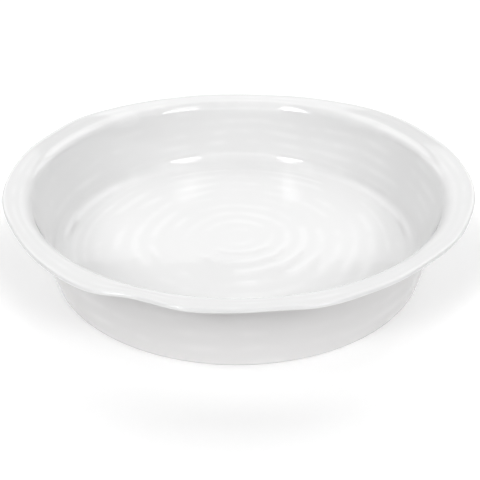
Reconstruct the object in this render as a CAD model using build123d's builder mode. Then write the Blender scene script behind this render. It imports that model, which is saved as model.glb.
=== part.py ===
"""Round pie dish, one piece of glazed white porcelain.

A flat floor, a wall that leans outwards and thins upwards, and a broad rim that flares to a thin
rounded lip. The floor and the wall carry the soft rings of a pot thrown on a wheel. The rim is
waved as if by hand, most at its lip and not at all at the mouth of the well, and the dish stands
on a low foot ring.

The dish is drawn as half a section, inside and outside. Each point of the section becomes a level
closed curve, and ruled lofts through the curves make the solid. The origin is at the middle of
the foot, with +Z upwards.
"""

import os
from math import ceil, copysign, cos, radians, sin, tan

from build123d import *

# The dish as a whole, in millimetres
rim_radius = 135.0  # mean radius of the waved lip
dish_height = 52.0

# Well, in millimetres and degrees
mouth_radius = 119.3  # where the lines of the wall and the rim meet
mouth_round_radius = 4.0
inner_lean = 15.1  # of the wall's inside, away from upright
floor_thickness = 5.5
cove_radius = 10.0  # between the floor and the wall

# Outside of the wall
outer_lean = 12.0
wall_thickness = 5.0  # at the floor
throat_radius = 8.0  # between the wall and the rim's underside

# Rim
rim_rise = 12.0  # of its top, away from level
underside_rise = 14.0
lip_radius = 1.25  # of the rounded edge
lip_land = 1.2  # width of the level crest behind the lip

# Foot
foot_height = 2.2  # from the table to the underside
foot_width = 7.0
foot_round_radius = 1.6

# Thrown rings, as the height from trough to crest
floor_ring_depth = 0.5
wall_ring_depth = 0.3
outer_ring_depth = 0.4

# Troughs between the rings, as shares of the way along the surface that they lie in
floor_trough_shares = (0, 0.12, 0.225, 0.325, 0.43, 0.53, 0.635, 0.74)
wall_trough_shares = (0, 0.26, 0.58, 0.94)
outer_trough_shares = (0.08, 0.44, 0.84)

# The waved lip, as (azimuth in degrees, share of the mean radius), anticlockwise from +X
lip_wave_shares = (
    (0, 1.010),
    (13, 1.017),
    (25, 1.018),
    (36, 1.028),
    (47, 1.025),
    (58, 1.008),
    (72, 0.998),
    (88, 0.986),
    (102, 0.991),
    (117, 0.994),
    (129, 1.004),
    (141, 1.021),
    (152, 1.009),
    (167, 1.003),
    (184, 0.995),
    (200, 0.991),
    (221, 0.997),
    (238, 1.016),
    (249, 0.984),
    (260, 1.003),
    (270, 0.997),
    (279, 0.995),
    (286, 1.007),
    (294, 1.000),
    (307, 0.991),
    (325, 0.994),
    (339, 0.997),
    (350, 1.006),
)

round_turn = 24.0  # most that a rounded corner of the section turns at one point, in degrees
overrun = 5.0  # by which a cutting shape passes what it cuts

# Directions in the section, whose X is the radius and whose Y is the level
outwards = Vector(1, 0)
upwards = Vector(0, 1)
up_inside = Vector(sin(radians(inner_lean)), cos(radians(inner_lean)))
into_wall = Vector(cos(radians(inner_lean)), -sin(radians(inner_lean)))
up_outside = Vector(sin(radians(outer_lean)), cos(radians(outer_lean)))
out_rim = Vector(cos(radians(rim_rise)), sin(radians(rim_rise)))
out_underside = Vector(cos(radians(underside_rise)), sin(radians(underside_rise)))


def crossing(point, direction, other_point, other_direction):
    """Where two lines of the section cross."""
    apart = other_point - point
    turned = Vector(-other_direction.Y, other_direction.X)
    return point + direction * (apart.dot(turned) / direction.dot(turned))


def rounding(corner, before, after, radius):
    """Points of the arc that rounds a corner between the directions before and after it."""
    turn = before.get_signed_angle(after, Vector(0, 0, 1))
    start = corner - before * (radius * tan(radians(abs(turn)) / 2))
    centre = start + before.rotate(Axis.Z, copysign(90, turn)) * radius
    steps = ceil(abs(turn) / round_turn)
    return [centre + (start - centre).rotate(Axis.Z, turn * n / steps) for n in range(steps + 1)]


def thrown(start, end, trough_shares, depth):
    """Crests and troughs thrown into a surface from start to end, on its left side."""
    along = end - start
    proud = Vector(-along.Y, along.X).normalized() * (depth / 2)
    points = []
    for trough, next_trough in zip(trough_shares[:-1], trough_shares[1:]):
        points.append(start + along * ((trough + next_trough) / 2) + proud)
        points.append(start + along * next_trough - proud)
    return points


# Corners of the section
crest_end = Vector(rim_radius - lip_radius - lip_land, dish_height)
mouth_corner = crossing(crest_end, out_rim, Vector(mouth_radius, 0), upwards)
floor_level = foot_height + floor_thickness
cove_corner = crossing(mouth_corner, up_inside, Vector(0, floor_level), outwards)
lip_corner = Vector(rim_radius, dish_height)
lip_centre = lip_corner - Vector(lip_radius, lip_radius)
under_corner = crossing(
    lip_centre - out_underside.rotate(Axis.Z, 90) * lip_radius, out_underside, lip_corner, upwards
)
throat_corner = crossing(
    under_corner, out_underside, cove_corner + into_wall * wall_thickness, up_outside
)
foot_corner = crossing(throat_corner, up_outside, Vector(0, 0), outwards)

# Inside, from the middle of the floor to the lip
cove = rounding(cove_corner, outwards, up_inside, cove_radius)
mouth = rounding(mouth_corner, up_inside, out_rim, mouth_round_radius)
inside = [
    *thrown(upwards * floor_level, cove[0], floor_trough_shares, floor_ring_depth),
    *cove,
    *thrown(cove[-1], mouth[0], wall_trough_shares, wall_ring_depth),
    *mouth,
    crest_end,
    crest_end + upwards * overrun,
]

# Outside, from the foot to the lip
foot = rounding(foot_corner, outwards, up_outside, foot_round_radius)
throat = rounding(throat_corner, up_outside, out_underside, throat_radius)
outside = [
    *foot,
    *reversed(thrown(throat[0], foot[-1], outer_trough_shares, outer_ring_depth)),
    *throat,
    *rounding(under_corner, out_underside, upwards, lip_radius)[:-1],
    *rounding(lip_corner, upwards, -outwards, lip_radius),
]


def level_curve(point):
    """The closed curve at a point of the section, which waves more the nearer it is to the lip."""
    waving = max(0, point.X - mouth[-1].X) / (crest_end.X - mouth[-1].X)
    with BuildSketch(Plane.XY.offset(point.Y)) as curve:
        if waving == 0:
            Circle(point.X)
        else:
            with BuildLine():
                Spline(
                    [
                        Vector(point.X + min(waving, 1) * rim_radius * (share - 1), 0).rotate(
                            Axis.Z, azimuth
                        )
                        for azimuth, share in lip_wave_shares
                    ],
                    periodic=True,
                )
            make_face()
    return curve.sketch.face()


with BuildPart() as pie_dish:
    loft([level_curve(point) for point in outside], ruled=True)
    loft([level_curve(point) for point in inside], ruled=True, mode=Mode.SUBTRACT)
    with BuildSketch() as recess:
        Circle(foot_corner.X - foot_width)
    extrude(amount=foot_height, mode=Mode.SUBTRACT)

pie_dish.part.label = "pie_dish"
os.makedirs("parts", exist_ok=True)
export_step(pie_dish.part, "parts/pie_dish.step")
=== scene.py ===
"""Looks of a round pie dish, thrown on a wheel in white porcelain and glazed.

The whole dish is one piece, built by Geometry Nodes: half a section is drawn from its corners,
rounded, and carried once round the waved lip, with the potter's rings thrown into it on the way.
"""

from math import cos, pi, radians, sin

import bpy
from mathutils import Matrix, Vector


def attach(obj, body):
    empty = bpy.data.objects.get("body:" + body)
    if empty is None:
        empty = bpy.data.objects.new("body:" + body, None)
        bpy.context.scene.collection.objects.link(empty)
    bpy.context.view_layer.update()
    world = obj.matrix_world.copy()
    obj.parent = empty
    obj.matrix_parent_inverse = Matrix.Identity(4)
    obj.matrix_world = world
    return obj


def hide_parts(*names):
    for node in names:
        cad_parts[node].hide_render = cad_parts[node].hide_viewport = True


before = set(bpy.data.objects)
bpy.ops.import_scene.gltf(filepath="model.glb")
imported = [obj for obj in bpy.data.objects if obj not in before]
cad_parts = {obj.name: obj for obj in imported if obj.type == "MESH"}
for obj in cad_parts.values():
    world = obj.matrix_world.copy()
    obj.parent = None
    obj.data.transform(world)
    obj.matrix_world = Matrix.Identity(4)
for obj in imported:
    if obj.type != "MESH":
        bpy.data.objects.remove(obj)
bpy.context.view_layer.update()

MM = 0.001

# The dish, in millimetres
RIM_RADIUS = 135.0  # mean radius of the lip
CREST_RADIUS = 132.55  # where the rim's waves are full
MOUTH_RADIUS = 120.5  # where they begin
CREST_HEIGHT = 51.96
LIP_HEIGHT = 50.0  # where the lip's rise and fall is full
FLOOR_HEIGHT = 7.7  # where it begins
RECESS_HEIGHT = 2.2  # of the underside inside the foot ring
BARE_HEIGHT = 0.06  # up to which the foot has no glaze

# Thrown rings, counted along the section from the middle of the floor
LIP_TURNS = 14.5
THROAT_TURNS = 16.4
FOOT_TURNS = 20.0

# Half the section, from the middle of the floor over the lip to the middle of the underside:
# radius, height and rounding in millimetres, the number of rings so far, the rings' height in mm
SECTION = (
    (0.0, FLOOR_HEIGHT, 0.0, -0.73, 0.045),  # middle of the floor
    (55.0, FLOOR_HEIGHT, 0.0, 4.27, 0.06),
    (90.0, FLOOR_HEIGHT, 0.0, 7.5, 0.03),
    (108.1, FLOOR_HEIGHT, 10.0, 9.2, 0.006),  # cove
    (120.2, 49.36, 8.0, 13.0, 0.002),  # mouth of the well
    (CREST_RADIUS, CREST_HEIGHT, 8.0, LIP_TURNS, 0.0),
    (RIM_RADIUS, CREST_HEIGHT, 1.25, LIP_TURNS, 0.0),  # lip
    (RIM_RADIUS, 49.77, 1.25, LIP_TURNS, 0.0),
    (121.47, 46.4, 8.0, THROAT_TURNS, 0.07),  # throat under the rim
    (111.61, 0.0, 1.6, FOOT_TURNS, 0.0),  # foot ring
    (104.61, 0.0, 0.8, FOOT_TURNS, 0.0),
    (103.2, RECESS_HEIGHT, 1.5, FOOT_TURNS, 0.0),
    (0.0, RECESS_HEIGHT, 0.0, FOOT_TURNS, 0.0),  # middle of the underside
)

# The waved lip: azimuth in degrees, radius and height in millimetres from the plain circle
LIP = (
    (0, 1.4, 0.0),
    (13, 2.3, 0.0),
    (25, 2.5, 0.0),
    (36, 3.8, 0.0),
    (47, 3.4, -0.1),
    (58, 1.1, -0.3),
    (72, -0.5, -0.9),
    (88, -2.1, -1.2),
    (102, -1.4, -1.0),
    (117, -0.8, -0.6),
    (129, 0.5, -0.2),
    (141, 2.8, 0.0),
    (152, 1.2, 0.0),
    (167, 0.4, 0.0),
    (184, -0.7, 0.0),
    (200, -1.2, 0.0),
    (221, -0.4, 0.0),
    (238, 2.2, 0.0),
    (249, -2.2, 0.0),
    (260, 0.4, 0.0),
    (270, -0.4, 0.0),
    (279, -0.7, 0.0),
    (286, 0.9, 0.0),
    (294, 0.0, 0.0),
    (307, -1.2, 0.0),
    (325, -0.8, 0.0),
    (339, -0.4, 0.0),
    (350, 0.8, 0.0),
)

# How finely the dish is meshed
COLUMNS = 257  # points once round, with the first and the last in one place
ROWS = 380  # points along the section
CORNER_POINTS = 24
LIP_POINTS = 24  # between two of the lip's given points

# The studio's lights: azimuth and elevation in degrees, width and height in metres, and radiance.
# Azimuth 0 is the camera's side
LIGHT_DISTANCE = 8.0
LIGHTS = (
    ("front_left_softbox", -40.5, 41, 1.9, 2.2, 13.0),
    ("front_left_spot", -50.0, 62, 1.1, 0.9, 13.0),
    ("front_right_softbox", 40.5, 41, 2.4, 2.1, 10.5),
    ("front_right_spot", 48.0, 62, 1.6, 0.9, 9.0),
    ("front_ceiling", 0, 62, 14.0, 9.0, 0.42),
    ("rear_ceiling", 180, 55, 12.0, 5.0, 1.2),
    ("front_card", 0, 28, 8.0, 3.2, 1.35),
    ("back_left_panel", -135, 35, 6.0, 5.0, 1.0),
    ("back_right_panel", 135, 35, 6.0, 5.0, 1.15),
    ("paper_sweep", 180, 16, 18.0, 5.0, 0.8),
)


def linear(colour):
    """An sRGB hex colour as linear red, green, blue and alpha."""
    shares = [int(colour[n : n + 2], 16) / 255 for n in (1, 3, 5)]
    return [c / 12.92 if c <= 0.04045 else ((c + 0.055) / 1.055) ** 2.4 for c in shares] + [1.0]


def add(tree, kind, inputs=(), **settings):
    """Adds a node with its settings, and sets its inputs or links them to a node or socket."""
    made = tree.nodes.new(kind)
    for name, value in settings.items():
        setattr(made, name, value)
    for key, value in dict(inputs).items():
        if isinstance(value, bpy.types.Node):
            value = next(socket for socket in value.outputs if socket.enabled)
        if isinstance(value, bpy.types.NodeSocket):
            tree.links.new(value, made.inputs[key])
        else:
            made.inputs[key].default_value = value
    return made


def new_material(name):
    """An empty material with its tree and its output."""
    material = bpy.data.materials.new(name)
    material.use_nodes = True
    material.node_tree.nodes.clear()
    return material, material.node_tree, add(material.node_tree, "ShaderNodeOutputMaterial")


def glazed_porcelain():
    """White porcelain under a clear, glossy feldspar glaze: the white lies under a mirror."""
    material, tree, output = new_material("glazed_porcelain")
    place = add(tree, "ShaderNodeTexCoord").outputs["Object"]
    # The glaze levels itself as it melts, and keeps a faint ripple about 6 mm across
    ripple = add(
        tree, "ShaderNodeTexNoise", {"Vector": place, "Scale": 1 / (6 * MM), "Detail": 1.5}
    )
    bump = add(
        tree, "ShaderNodeBump", {"Height": ripple, "Strength": 0.12, "Distance": 0.2 * MM}
    )
    # Painted shade: the outside is coloured darker than the inside, most of all right below the rim
    # where the rim's shadow falls, and lighter again toward the foot
    turns = add(tree, "ShaderNodeAttribute", attribute_name="ring_count").outputs["Fac"]
    way = add(tree, "ShaderNodeMapRange", {"Value": turns, "From Max": FOOT_TURNS})
    ramp_with_painted_shade = add(tree, "ShaderNodeValToRGB", {0: way})
    stops = ramp_with_painted_shade.color_ramp.elements
    stops[0].color = linear("#EEEEEE")
    stops[1].color = linear("#EAE9E9")
    for turn, colour in ((14.4, "#EDEDED"), (THROAT_TURNS, "#D4D3D3")):
        stops.new(turn / FOOT_TURNS).color = linear(colour)
    # Painted shade: the troughs between the rings are coloured a hair greyer than the ridges
    thrown = add(tree, "ShaderNodeAttribute", attribute_name="ring_height").outputs["Fac"]
    painted_trough_shade = add(
        tree,
        "ShaderNodeMix",
        {0: thrown, 6: linear("#FAFAFA"), 7: linear("#FFFFFF")},
        data_type="RGBA",
    ).outputs[2]
    white = add(
        tree, "ShaderNodeMix", {0: 1.0, 6: ramp_with_painted_shade, 7: painted_trough_shade}, data_type="RGBA", blend_type="MULTIPLY"
    ).outputs[2]
    shader = add(
        tree,
        "ShaderNodeBsdfPrincipled",
        {"Base Color": white, "Roughness": 0.03, "IOR": 1.53, "Normal": bump},
    )
    tree.links.new(shader.outputs[0], output.inputs["Surface"])
    return material


def bare_porcelain():
    """The same porcelain where it stood in the kiln: no glaze, ground smooth, dull and dry."""
    material, tree, output = new_material("bare_porcelain")
    place = add(tree, "ShaderNodeTexCoord").outputs["Object"]
    # The ground clay has a fine grain, about 0.4 mm across
    grain = add(tree, "ShaderNodeTexNoise", {"Vector": place, "Scale": 1 / (0.4 * MM), "Detail": 3})
    bump = add(tree, "ShaderNodeBump", {"Height": grain, "Strength": 0.3, "Distance": 0.05 * MM})
    shader = add(
        tree,
        "ShaderNodeBsdfPrincipled",
        {"Base Color": linear("#E6E3DC"), "Roughness": 0.75, "Normal": bump},
    )
    tree.links.new(shader.outputs[0], output.inputs["Surface"])
    return material


def line_of_points(name, points, closed, **values):
    """A helper object: a chain of edges whose points carry named values."""
    count = len(points)
    mesh = bpy.data.meshes.new(name)
    edges = [(n, (n + 1) % count) for n in range(count if closed else count - 1)]
    mesh.from_pydata(points, edges, [])
    for value_name, numbers in values.items():
        mesh.attributes.new(value_name, "FLOAT", "POINT").data.foreach_set("value", numbers)
    helper = bpy.data.objects.new(name, mesh)
    bpy.context.scene.collection.objects.link(helper)
    return helper


def thrown_dish_tree():
    """Carries a rounded section once round a waved lip and throws rings into it."""
    tree = bpy.data.node_groups.new("thrown_dish", "GeometryNodeTree")
    for name, kind in (
        ("Section", "NodeSocketObject"),
        ("Lip", "NodeSocketObject"),
        ("Columns", "NodeSocketInt"),
        ("Rows", "NodeSocketInt"),
        ("Rim radius", "NodeSocketFloat"),
        ("Waves begin", "NodeSocketFloat"),
        ("Waves full", "NodeSocketFloat"),
        ("Floor height", "NodeSocketFloat"),
        ("Lip height", "NodeSocketFloat"),
        ("Ring wobble", "NodeSocketFloat"),
        ("Unevenness", "NodeSocketFloat"),
        ("Glaze", "NodeSocketMaterial"),
        ("Bare", "NodeSocketMaterial"),
    ):
        tree.interface.new_socket(name, in_out="INPUT", socket_type=kind)
    tree.interface.new_socket("Mesh", in_out="OUTPUT", socket_type="NodeSocketGeometry")
    given = add(tree, "NodeGroupInput").outputs

    # A flat grid: one way goes round the dish, the other along the section
    grid = add(
        tree,
        "GeometryNodeMeshGrid",
        {"Size X": 1.0, "Size Y": 1.0, "Vertices X": given["Columns"], "Vertices Y": given["Rows"]},
    )
    flat = add(tree, "ShaderNodeSeparateXYZ", {0: add(tree, "GeometryNodeInputPosition")})
    round_share = add(tree, "ShaderNodeMath", {0: flat.outputs["X"], 1: 0.5}, operation="ADD")
    row_share = add(tree, "ShaderNodeMath", {0: flat.outputs["Y"], 1: 0.5}, operation="ADD")
    # Few rows go to the plain underside, the last third of the section
    rows_above, section_above = 0.93, 0.69
    along = add(tree, "ShaderNodeFloatCurve", {"Value": row_share})
    stops = along.mapping.curves[0].points
    stops.new(rows_above, section_above)
    for stop in stops:
        stop.handle_type = "VECTOR"

    # The lip gives each column its direction and its wave
    lip = add(tree, "GeometryNodeObjectInfo", {"Object": given["Lip"]})
    lip = add(tree, "GeometryNodeMeshToCurve", {"Mesh": lip.outputs["Geometry"]})
    lip = add(tree, "GeometryNodeCurveSplineType", {"Curve": lip}, spline_type="CATMULL_ROM")
    lip = add(tree, "GeometryNodeSetSplineResolution", {0: lip, "Resolution": LIP_POINTS})
    lip = add(
        tree,
        "GeometryNodeSampleCurve",
        {"Curves": lip, "Factor": round_share},
        mode="FACTOR",
        use_all_curves=True,
    ).outputs["Position"]
    level = add(tree, "ShaderNodeVectorMath", {0: lip, 1: (1, 1, 0)}, operation="MULTIPLY")
    outwards = add(tree, "ShaderNodeVectorMath", {0: level}, operation="NORMALIZE")
    lip_radius = add(tree, "ShaderNodeVectorMath", {0: level}, operation="LENGTH").outputs["Value"]
    swing = add(
        tree, "ShaderNodeMath", {0: lip_radius, 1: given["Rim radius"]}, operation="SUBTRACT"
    )
    lift = add(tree, "ShaderNodeSeparateXYZ", {0: lip}).outputs["Z"]

    # The section, with its corners rounded
    section = add(tree, "GeometryNodeObjectInfo", {"Object": given["Section"]})
    section = add(tree, "GeometryNodeMeshToCurve", {"Mesh": section.outputs["Geometry"]})
    rounding = add(tree, "GeometryNodeInputNamedAttribute", {"Name": "rounding"})
    section = add(
        tree,
        "GeometryNodeFilletCurve",
        {"Curve": section, "Count": CORNER_POINTS, "Radius": rounding, "Limit Radius": True},
        mode="POLY",
    )
    samples = {}
    for name in ("ring", "depth"):
        value = add(tree, "GeometryNodeInputNamedAttribute", {"Name": name})
        samples[name] = add(
            tree,
            "GeometryNodeSampleCurve",
            {"Curves": section, "Value": value, "Factor": along},
            mode="FACTOR",
            use_all_curves=True,
        ).outputs
    ring_count = samples["ring"]["Value"]
    point = add(tree, "ShaderNodeSeparateXYZ", {0: samples["ring"]["Position"]}).outputs
    tangent = add(tree, "ShaderNodeSeparateXYZ", {0: samples["ring"]["Tangent"]}).outputs

    # Noises that lie on the dish before its waves: size in millimetres, detail, the two values
    # that count, what these become, and whether the noise stops there
    seat = add(
        tree, "ShaderNodeVectorMath", {0: outwards, "Scale": point["X"]}, operation="SCALE"
    )
    height = add(tree, "ShaderNodeCombineXYZ", {"Z": point["Z"]})
    seat = add(tree, "ShaderNodeVectorMath", {0: seat, 1: height}, operation="ADD")
    noises = {}
    for name, size, detail, low, high, least, most, stops_there in (
        ("wobble", 55, 1.0, 0.2, 0.8, -1.0, 1.0, False),
        ("strength", 26, 2.0, 0.44, 0.66, 0.05, 1.3, True),
        ("uneven", 16, 2.0, 0.2, 0.8, -1.0, 1.0, False),
    ):
        noise = add(
            tree,
            "ShaderNodeTexNoise",
            {"Vector": seat, "Scale": 1 / (size * MM), "Detail": detail},
        )
        noises[name] = add(
            tree,
            "ShaderNodeMapRange",
            {"Value": noise, "From Min": low, "From Max": high, "To Min": least, "To Max": most},
            clamp=stops_there,
        )

    # Rings: they wobble, fade in and out as they go round, and lie on a gently uneven wall
    turns = add(
        tree,
        "ShaderNodeMath",
        {0: noises["wobble"], 1: given["Ring wobble"], 2: ring_count},
        operation="MULTIPLY_ADD",
    )
    phase = add(tree, "ShaderNodeMath", {0: turns, 1: 2 * pi}, operation="MULTIPLY")
    # A narrow ridge at each turn, with a flatter run between two ridges
    narrowing = 1.6
    ring = add(tree, "ShaderNodeMath", {0: phase}, operation="COSINE")
    ring = add(tree, "ShaderNodeMath", {0: ring, 1: 0.5, 2: 0.5}, operation="MULTIPLY_ADD")
    ring = add(tree, "ShaderNodeMath", {0: ring, 1: narrowing}, operation="POWER")
    ring = add(tree, "ShaderNodeMath", {0: ring, 1: noises["strength"]}, operation="MULTIPLY")
    proud = add(
        tree,
        "ShaderNodeMath",
        {0: noises["uneven"], 1: given["Unevenness"], 2: ring},
        operation="MULTIPLY_ADD",
    )
    proud = add(
        tree, "ShaderNodeMath", {0: proud, 1: samples["depth"]["Value"]}, operation="MULTIPLY"
    )

    # Everything together: section point, rings along its normal, and the lip's wave
    waving = add(
        tree,
        "ShaderNodeMapRange",
        {"Value": point["X"], "From Min": given["Waves begin"], "From Max": given["Waves full"]},
        interpolation_type="SMOOTHSTEP",
    )
    back = add(tree, "ShaderNodeMath", {0: tangent["Z"], 1: -1.0}, operation="MULTIPLY")
    radius = add(
        tree, "ShaderNodeMath", {0: proud, 1: back, 2: point["X"]}, operation="MULTIPLY_ADD"
    )
    radius = add(
        tree, "ShaderNodeMath", {0: swing, 1: waving, 2: radius}, operation="MULTIPLY_ADD"
    )
    height = add(
        tree, "ShaderNodeMath", {0: proud, 1: tangent["X"], 2: point["Z"]}, operation="MULTIPLY_ADD"
    )
    # The lip's rise and fall dies out down the wall, so the foot stays level
    rising = add(
        tree,
        "ShaderNodeMapRange",
        {"Value": point["Z"], "From Min": given["Floor height"], "From Max": given["Lip height"]},
        interpolation_type="SMOOTHSTEP",
    )
    height = add(
        tree, "ShaderNodeMath", {0: lift, 1: rising, 2: height}, operation="MULTIPLY_ADD"
    )
    place = add(tree, "ShaderNodeVectorMath", {0: outwards, "Scale": radius}, operation="SCALE")
    height = add(tree, "ShaderNodeCombineXYZ", {"Z": height})
    place = add(tree, "ShaderNodeVectorMath", {0: place, 1: height}, operation="ADD")

    # The glaze's colour reads the rings and their count, for the painted shade in the troughs and
    # on the outside. Merging closes the seam and the two poles
    dish = grid.outputs["Mesh"]
    for name, value in (("ring_height", ring), ("ring_count", ring_count)):
        dish = add(
            tree,
            "GeometryNodeStoreNamedAttribute",
            {"Geometry": dish, "Name": name, "Value": value},
        )
    dish = add(tree, "GeometryNodeSetPosition", {"Geometry": dish, "Position": place})
    dish = add(tree, "GeometryNodeMergeByDistance", {"Geometry": dish, "Distance": 0.001 * MM})
    dish = add(tree, "GeometryNodeSetShadeSmooth", {0: dish})
    dish = add(tree, "GeometryNodeRealizeInstances", {"Geometry": dish})
    dish = add(tree, "GeometryNodeSetMaterial", {"Geometry": dish, "Material": given["Glaze"]})
    # The land of the foot ring is wiped clean of glaze
    level = add(
        tree, "ShaderNodeSeparateXYZ", {0: add(tree, "GeometryNodeInputPosition")}
    ).outputs["Z"]
    land = add(tree, "FunctionNodeCompare", {0: level, 1: BARE_HEIGHT * MM}, operation="LESS_THAN")
    dish = add(
        tree,
        "GeometryNodeSetMaterial",
        {"Geometry": dish, "Selection": land, "Material": given["Bare"]},
    )
    add(tree, "NodeGroupOutput", {"Mesh": dish})
    return tree


def build_dish():
    """The dish, as a plain mesh with its place in the mesh."""
    section = line_of_points(
        "section",
        [(radius * MM, 0, height * MM) for radius, height, *_ in SECTION],
        False,
        rounding=[rounding * MM for _, _, rounding, _, _ in SECTION],
        ring=[turns for _, _, _, turns, _ in SECTION],
        depth=[ring_height * MM for *_, ring_height in SECTION],
    )
    lip = line_of_points(
        "lip",
        [
            (
                (RIM_RADIUS + swing) * MM * cos(radians(azimuth)),
                (RIM_RADIUS + swing) * MM * sin(radians(azimuth)),
                lift * MM,
            )
            for azimuth, swing, lift in LIP
        ],
        True,
    )
    blank = bpy.data.objects.new("blank", bpy.data.meshes.new("blank"))
    bpy.context.scene.collection.objects.link(blank)
    tree = thrown_dish_tree()
    nodes = blank.modifiers.new("thrown_dish", "NODES")
    nodes.node_group = tree
    values = {
        "Section": section,
        "Lip": lip,
        "Columns": COLUMNS,
        "Rows": ROWS,
        "Rim radius": RIM_RADIUS * MM,
        "Waves begin": MOUTH_RADIUS * MM,
        "Waves full": CREST_RADIUS * MM,
        "Floor height": FLOOR_HEIGHT * MM,
        "Lip height": LIP_HEIGHT * MM,
        "Ring wobble": 0.22,
        "Unevenness": 0.35,
        "Glaze": glazed_porcelain(),
        "Bare": bare_porcelain(),
    }
    for item in tree.interface.items_tree:
        if item.in_out == "INPUT":
            nodes[item.identifier] = values[item.name]
    evaluated = blank.evaluated_get(bpy.context.evaluated_depsgraph_get())
    mesh = bpy.data.meshes.new_from_object(evaluated)
    for helper in (blank, section, lip):
        bpy.data.objects.remove(helper)
    dish = bpy.data.objects.new("thrown_dish", mesh)
    bpy.context.scene.collection.objects.link(dish)
    return dish


dish = build_dish()
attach(dish, "root")
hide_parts("pie_dish")


def white_floor():
    """A plain white table, matt and faintly lit from below, in a dark studio."""
    material, tree, output = new_material("matt_white_table")
    shader = add(
        tree,
        "ShaderNodeBsdfPrincipled",
        {
            "Base Color": linear("#FEFEFE"),
            "Roughness": 0.9,
            "Specular IOR Level": 0.0,
            "Emission Color": linear("#FFFFFF"),
            "Emission Strength": 0.04,
        },
    )
    tree.links.new(shader.outputs[0], output.inputs["Surface"])
    mesh = bpy.data.meshes.new("table")
    half = 0.45
    low = -0.1 * MM
    mesh.from_pydata(
        [(-half, -half, low), (half, -half, low), (half, half, low), (-half, half, low)],
        [],
        [(0, 1, 2, 3)],
    )
    mesh.materials.append(material)
    floor = bpy.data.objects.new("table", mesh)
    bpy.context.scene.collection.objects.link(floor)
    return floor


white_floor()


def softbox(name, azimuth, elevation, width, height, radiance):
    """A flat studio light that faces the dish."""
    light = bpy.data.lights.new(name, "AREA")
    light.shape = "RECTANGLE"
    light.size = width
    light.size_y = height
    light.energy = radiance * pi * width * height
    lamp = bpy.data.objects.new(name, light)
    level = LIGHT_DISTANCE * cos(radians(elevation))
    lamp.location = (
        level * sin(radians(azimuth)),
        -level * cos(radians(azimuth)),
        LIGHT_DISTANCE * sin(radians(elevation)),
    )
    lamp.rotation_euler = (-lamp.location).to_track_quat("-Z", "Y").to_euler()
    bpy.context.scene.collection.objects.link(lamp)


for row in LIGHTS:
    softbox(*row)

# White paper behind the table for the camera, and almost no light from it
world = bpy.data.worlds.new("studio")
world.use_nodes = True
world.node_tree.nodes.clear()
seen = add(world.node_tree, "ShaderNodeLightPath").outputs["Is Camera Ray"]
shine = add(world.node_tree, "ShaderNodeMapRange", {"Value": seen, "To Min": 0.02, "To Max": 1.1})
sky = add(world.node_tree, "ShaderNodeBackground", {"Color": linear("#FFFFFF"), "Strength": shine})
add(world.node_tree, "ShaderNodeOutputWorld", {"Surface": sky})
bpy.context.scene.world = world

# The camera stands where the photograph was taken from
camera = bpy.data.objects.new("camera", bpy.data.cameras.new("camera"))
camera.data.lens = 56.7
camera.data.sensor_width = 36.0
camera.location = (0.0014, -0.4007, 0.2510)
aim = Vector((0.0014, 0.0, 0.0054))
camera.rotation_euler = (aim - camera.location).to_track_quat("-Z", "Y").to_euler()
bpy.context.scene.collection.objects.link(camera)
bpy.context.scene.camera = camera
bpy.context.scene.view_settings.view_transform = "Standard"
